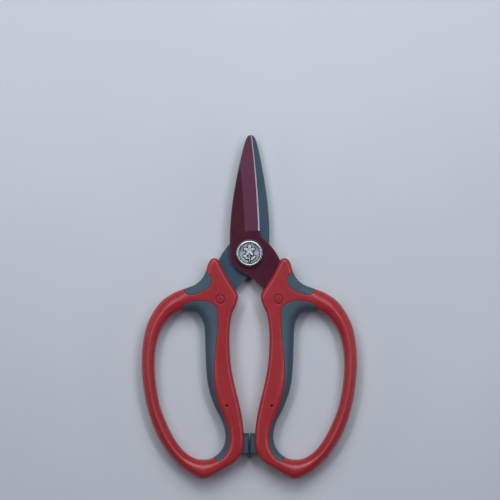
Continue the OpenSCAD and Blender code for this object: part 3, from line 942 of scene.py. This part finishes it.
lathe("bolt", [
    (0, RECESS_Z), (RECESS_R - 0.03, RECESS_Z), (RECESS_R, RECESS_Z + 0.03),
    (RECESS_R, HEAD_TOP - 0.30), (RECESS_R + 0.10, HEAD_TOP - 0.08), (RECESS_R + 0.28, HEAD_TOP),
    (6.02, HEAD_TOP), (6.14, HEAD_TOP - 0.01), (6.26, HEAD_TOP - 0.035),
    (6.40, HEAD_TOP - 0.085), (6.56, HEAD_TOP - 0.17), (6.74, HEAD_TOP - 0.31),
    (6.88, HEAD_TOP - 0.50), (6.97, HEAD_TOP - 0.75), (HEAD_R, HEAD_TOP - 1.0),
    (HEAD_R, HEAD_Z + 0.12), (HEAD_R - 0.07, HEAD_Z), (SHANK_R, HEAD_Z), (SHANK_R, -0.02),
    (THREAD_R, -0.02), (THREAD_R, -5.80), (2.33, -5.95), (2.02, -6.22), (1.95, BOLT_END),
    (0.55, BOLT_END), (0.45, -6.2), (0, -5.95)],
    [plated], "lower_half", ["pivot_bolt"], 40)


def ellipse_dome(x, y, cx, cy, a, b, turn, top):
    """A low petal or leaf with a vein along it, as heights over x and y."""
    c, s = math.cos(turn), math.sin(turn)
    u, v = (x - cx) * c + (y - cy) * s, -(x - cx) * s + (y - cy) * c
    e = np.clip(1 - (u / a) ** 2 - (v / b) ** 2, 0, 1)
    vein = 0.045 * np.exp(-(v / 0.07) ** 2) * (np.abs(u) < 0.8 * a)
    return np.where(e > 0, top * np.minimum(1, e * 2.4) ** 0.6 - vein * e, 0)


def relief(x, y):
    """A plain flower on a stem with two leaves, in low relief."""
    z = np.zeros_like(x)
    for k in range(5):
        a = math.radians(90 + 72 * k)
        z = np.maximum(z, ellipse_dome(x, y, 1.8 * math.cos(a), 1.5 + 1.8 * math.sin(a),
                                       1.4, 0.86, a, 0.30))
    z = np.maximum(z, ellipse_dome(x, y, 0, 1.5, 0.66, 0.66, 0, 0.34))
    stem = np.clip(1 - (np.abs(x - 0.12 * np.sin(y)) / 0.36) ** 2, 0, 1) * ((y < 0.0) & (y > -4.7))
    z = np.maximum(z, 0.28 * np.minimum(1, stem * 2.2) ** 0.6)
    for sx in (-1, 1):
        z = np.maximum(z, ellipse_dome(x, y, sx * 1.9, -2.2 - 0.3 * sx, 1.75, 0.74,
                                       sx * math.radians(42), 0.28))
    return z


def tarnish_and_shade(plan):
    """Tarnish where the stamped disc's ground lies close under the relief, and painted shade of
    the recess towards the rim.
    """
    x, y = plan[:, 0], plan[:, 1]
    here = relief(x, y)
    around = np.max([relief(*(plan[:, :2] + at).T) for at in circle((0, 0), 0.42, 12)], 0)
    close = 0.97 * np.clip((around - here) / 0.16, 0, 1) * np.clip(1 - here / 0.2, 0, 1)
    # the ring towards the rim is painted shade, standing in for the recess's shadow under the
    # head's rim
    return np.maximum(close, 0.75 * np.clip((np.hypot(x, y) - 4.5) / 1.0, 0, 1))


def medallion():
    """A thin disc, slightly dished, with the relief on its front."""
    solid = Solid()
    steps, edge, back = 216, RECESS_R - 0.04, RECESS_Z + 0.02
    face_z, dish = 5.08, 0.06
    turn = full_turn(steps)
    rings = []
    for r in np.linspace(0, edge - 0.02, 62):
        x, y = r * np.cos(turn), r * np.sin(turn)
        z = face_z + dish * (r / edge) ** 2 + relief(x, y)
        rings.append([solid.vert(*p) for p in zip(x, y, z)])
    for z in (face_z + dish / 2, back):
        rings.append([solid.vert(edge * math.cos(a), edge * math.sin(a), z) for a in turn])
    rings.append([solid.vert(0, 0, back)] * steps)
    for one, two in zip(rings, rings[1:]):
        solid.band(one, two)
    return solid


build("medal", medallion(), [stamped], "lower_half", ["pivot_medallion"],
      60, fields={"tarnish_and_shade": tarnish_and_shade})

# a real washer whose near-black rim past the head's edge stands in for the head's contact shadow:
# painted shade
lathe("slip_washer", [(3.05, 3.43), (3.1, 3.45), (7.32, 3.45), (7.4, 3.38), (7.4, 3.12),
                      (7.32, 3.05), (3.1, 3.05), (3.05, 3.07)],
      [shade_black_nylon], "lower_half", ["friction_washer"], 50)

lathe("cone_washer", [(2.75, -3.41), (2.82, -3.39), (5.3, -3.07), (5.4, -3.1), (5.4, -3.36),
                      (5.32, -3.46), (2.8, -3.79), (2.75, -3.77)],
      [plated], "lower_half", ["spring_washer"], 50)

NUT_STEPS = 180


def nut():
    """The hexagonal nut's profile: its corners are trimmed, and chamfered on the back."""
    flat, bore, top, low = 4.0, THREAD_R + 0.02, -3.8, -6.0
    cone_r, cone_slope, lip = 4.1, 0.6, 0.04  # where the chamfer starts, and how steep it is
    sixth = math.radians(60)
    wall = flat / np.cos((full_turn(NUT_STEPS) + sixth / 2) % sixth - sixth / 2)
    wall = np.minimum(wall, flat / math.cos(sixth / 2) - 0.06)
    past = np.maximum(wall - cone_r, 0)
    rim = low + past * cone_slope
    return [(bore + 0.25, top), (wall - 0.05, top), (wall, top - 0.05), (wall, rim + 0.05),
            (np.minimum(wall - lip, cone_r + past - lip), rim), (3.9, low),
            (bore + 0.3, low), (bore, low + 0.3), (bore, top - 0.25)]


lathe("lock_nut", nut(), [plated], "lower_half", ["pivot_nut"],
      25, steps=NUT_STEPS)

for name in ("right_tang_pin", "left_tang_pin"):
    pin = frame["nodes"][name]
    pin.data.materials.clear()
    pin.data.materials.append(plated)

# ---- Floor, light and camera ----------------------------------------------------------


def floor(half):
    n = Nodes("pale_floor")
    base = n.mix(n.span(n.noise(6, 3), 0.3, 0.7), (0.58, 0.65, 0.70), (0.62, 0.69, 0.74))
    mesh = bpy.data.meshes.new("floor")
    mesh.from_pydata([(-half, -half, 0), (half, -half, 0), (half, half, 0), (-half, half, 0)],
                     [], [(0, 1, 2, 3)])
    mesh.materials.append(n.finish(Base_Color=base, Roughness=0.8))
    add_object("floor", mesh)


def soft_light(name, at, size, power, colour=(1, 1, 1)):
    """A rectangular light at a place in metres, which faces the origin.

    The first size runs along Y for a light at a side, and along X for one over the middle.
    """
    data = bpy.data.lights.new(name, "AREA")
    data.shape = "RECTANGLE"
    data.size, data.size_y = size
    data.energy = power
    data.color = colour
    obj = add_object(name, data)
    obj.location = at
    obj.rotation_mode = "QUATERNION"
    obj.rotation_quaternion = (Vector(at) * -1).to_track_quat("-Z", "Y")


floor(2)
for name, side in (("left", -1), ("right", 1)):
    soft_light(f"{name}_box", (side * 0.42, 0.22, 1.0), (0.8, 0.12), 2.15, (1.0, 0.94, 1.06))
    soft_light(f"{name}_strip", (side * 0.75, 0.05, 0.28), (0.6, 0.12), 0.4, (1.0, 0.96, 1.04))
soft_light("top_box", (0.0, 0.36, 0.46), (0.6, 0.25), 1.95)

world = bpy.data.worlds.new("studio")
world.use_nodes = True
background = world.node_tree.nodes["Background"].inputs
background["Color"].default_value = (0.86, 0.9, 1.0, 1)
background["Strength"].default_value = 0.05
bpy.context.scene.world = world
bpy.context.scene.view_settings.view_transform = "Standard"

# The camera looks straight down, and sees this width at the height of the blades.
VIEW_WIDTH, VIEW_HEIGHT = 0.26, 0.010
camera = bpy.data.cameras.new("camera")
camera.sensor_width, camera.lens = 36, 200
camera.clip_start, camera.clip_end = 0.05, 20
eye = add_object("camera", camera)
eye.location = (0.0003, PIVOT[1] + 0.0018,
                VIEW_HEIGHT + VIEW_WIDTH * camera.lens / camera.sensor_width)
bpy.context.scene.camera = eye
